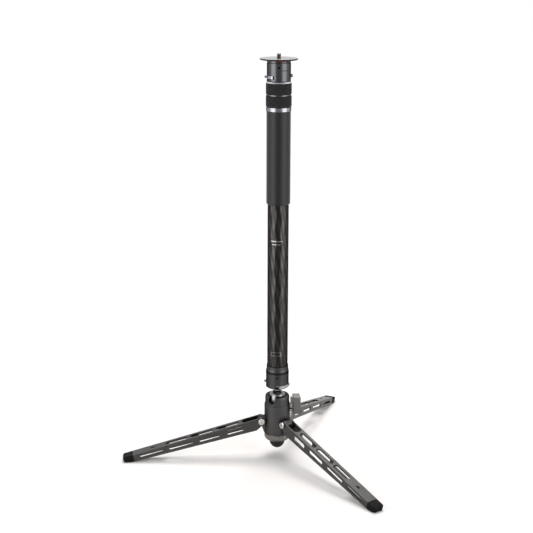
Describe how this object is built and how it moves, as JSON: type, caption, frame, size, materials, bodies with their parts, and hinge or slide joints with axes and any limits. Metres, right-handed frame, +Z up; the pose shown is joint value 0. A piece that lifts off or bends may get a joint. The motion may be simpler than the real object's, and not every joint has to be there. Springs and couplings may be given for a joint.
{
  "type": "camera monopod",
  "caption": "Camera monopod: telescopic carbon column with a foam grip and twist locks on a lockable ball joint, fold-out legs and a quick-release camera plate.",
  "frame": {"origin": "on the floor, under the column's axis", "axes": "+Z up along the column, towards the camera screw; +Y away from the front; the lock knob stands towards +X"},
  "size_m": [0.3963, 0.4292, 0.6338],
  "materials": {
    "cast_alloy": "satin dark grey anodised",
    "leg_alloy": "satin dark grey anodised",
    "knob_alloy": "smooth grey anodised",
    "knurled_alloy": "fluted grey anodised",
    "black_anodised": "satin black anodised",
    "bright_metal": "polished",
    "steel": "plain steel",
    "carbon_tube": "clear-coated carbon fibre",
    "foam": "fine matt foam",
    "black_rubber": "matt rubber",
    "end_ring_plastic": "matt black moulding",
    "nylon": "natural nylon",
    "red_plastic": "red moulding"
  },
  "bodies": {
    "hub": {"base_hub": "cast_alloy", "ball_socket_cap": "cast_alloy", "foot_ring": "knurled_alloy", "rubber_foot": "black_rubber", "foot_stud": "steel", "leg_pivot_bolts": "steel", "leg_pivot_nuts": "steel", "leg_pivot_washers": "nylon"},
    "left_leg": {"leg_1": "leg_alloy", "leg_foot_cap_1": "black_rubber"},
    "front_leg": {"leg_2": "leg_alloy", "leg_foot_cap_2": "black_rubber"},
    "rear_leg": {"leg_3": "leg_alloy", "leg_foot_cap_3": "black_rubber"},
    "lock_knob": {"lock_knob": "knob_alloy", "lock_knob_screw": "steel", "lock_knob_tip": "nylon"},
    "ball_cup": {"ball_seat": "nylon"},
    "ball": {"ball": "bright_metal"},
    "stem": {"ball_stem": "bright_metal"},
    "column": {"lower_qr_body": "black_anodised", "lower_retaining_ring": "steel", "lower_set_screw": "steel", "lower_trim_ring": "black_anodised", "tube_end_ring": "end_ring_plastic", "outer_tube": "carbon_tube", "foam_grip": "foam", "grip_end_ring": "bright_metal", "lower_lock_ferrule": "black_anodised", "lower_lock_collet": "nylon", "lower_button_spring": "steel"},
    "lower_lever": {"lower_qr_lever": "bright_metal", "lower_clamp_ring": "steel"},
    "lower_button": {"lower_qr_button": "black_anodised"},
    "lower_twist_lock": {"lower_lock_collar": "black_anodised", "lower_lock_sleeve": "black_rubber"},
    "middle_section": {"mid_tube": "carbon_tube", "mid_tube_shims": "nylon", "mid_trim_ring": "bright_metal", "upper_lock_ferrule": "black_anodised", "upper_lock_collet": "nylon"},
    "upper_twist_lock": {"upper_lock_collar": "black_anodised", "upper_lock_sleeve": "black_rubber"},
    "inner_section": {"inner_tube": "carbon_tube", "inner_tube_shims": "nylon", "top_trim_ring": "bright_metal", "column_top_spigot": "steel"},
    "head": {"upper_qr_body": "black_anodised", "upper_retaining_ring": "steel", "upper_set_screw": "steel", "upper_button_spring": "steel", "index_ring": "black_anodised", "red_index_ring": "red_plastic", "camera_plate": "black_anodised", "camera_screw": "steel"},
    "upper_lever": {"upper_qr_lever": "bright_metal", "upper_clamp_ring": "steel"},
    "upper_button": {"upper_qr_button": "black_anodised"}
  },
  "joints": [
    {"name": "left_leg_fold", "type": "hinge", "parent": "hub", "child": "left_leg", "pos_m": [-0.02584, -0.0029, 0.0601], "axis": [-0.1115, 0.9938, 0], "range_deg": [0, 104]},
    {"name": "front_leg_fold", "type": "hinge", "parent": "hub", "child": "front_leg", "pos_m": [0.01543, -0.02093, 0.0601], "axis": [-0.8049, -0.5934, 0], "range_deg": [0, 104]},
    {"name": "rear_leg_fold", "type": "hinge", "parent": "hub", "child": "rear_leg", "pos_m": [0.01041, 0.02382, 0.0601], "axis": [0.9164, -0.4003, 0], "range_deg": [0, 104]},
    {"name": "lock_knob_turn", "type": "hinge", "parent": "hub", "child": "lock_knob", "pos_m": [0.02981, 0.00334, 0.0846], "axis": [0.9938, 0.1115, 0], "range_deg": [0, 180]},
    {"name": "ball_side_tilt", "type": "hinge", "parent": "hub", "child": "ball_cup", "pos_m": [0, 0, 0.0963], "axis": [0.4924, 0.8704, 0], "range_deg": [-20, 20]},
    {"name": "ball_drop_tilt", "type": "hinge", "parent": "ball_cup", "child": "ball", "pos_m": [0, 0, 0.0963], "axis": [0.8704, -0.4924, 0], "range_deg": [-20, 90]},
    {"name": "ball_pan", "type": "hinge", "parent": "ball", "child": "stem", "pos_m": [0, 0, 0.0963], "axis": [0, 0, 1], "continuous": true},
    {"name": "column_release", "type": "slide", "parent": "stem", "child": "column", "axis": [0, 0, 1], "range_m": [0, 0.035]},
    {"name": "lower_lever_turn", "type": "hinge", "parent": "column", "child": "lower_lever", "pos_m": [0, 0, 0.1197], "axis": [0, 0, -1], "range_deg": [0, 12]},
    {"name": "lower_button_press", "type": "slide", "parent": "column", "child": "lower_button", "axis": [1, 0, 0], "range_m": [0, 0.001], "stiffness_N_per_m": 800, "springref_m": -0.001, "deforming": ["lower_button_spring"]},
    {"name": "lower_twist", "type": "hinge", "parent": "column", "child": "lower_twist_lock", "pos_m": [0, 0, 0.5651], "axis": [0, 0, 1], "range_deg": [0, 120]},
    {"name": "middle_extend", "type": "slide", "parent": "column", "child": "middle_section", "axis": [0, 0, 1], "range_m": [0, 0.34]},
    {"name": "upper_twist", "type": "hinge", "parent": "middle_section", "child": "upper_twist_lock", "pos_m": [0, 0, 0.5831], "axis": [0, 0, 1], "range_deg": [0, 120]},
    {"name": "inner_extend", "type": "slide", "parent": "middle_section", "child": "inner_section", "axis": [0, 0, 1], "range_m": [0, 0.34]},
    {"name": "head_release", "type": "slide", "parent": "inner_section", "child": "head", "axis": [0, 0, 1], "range_m": [0, 0.03]},
    {"name": "upper_lever_turn", "type": "hinge", "parent": "head", "child": "upper_lever", "pos_m": [0, 0, 0.60015], "axis": [0, 0, 1], "range_deg": [0, 12]},
    {"name": "upper_button_press", "type": "slide", "parent": "head", "child": "upper_button", "axis": [-1, 0, 0], "range_m": [0, 0.001], "stiffness_N_per_m": 800, "springref_m": -0.001, "deforming": ["upper_button_spring"]}
  ]
}
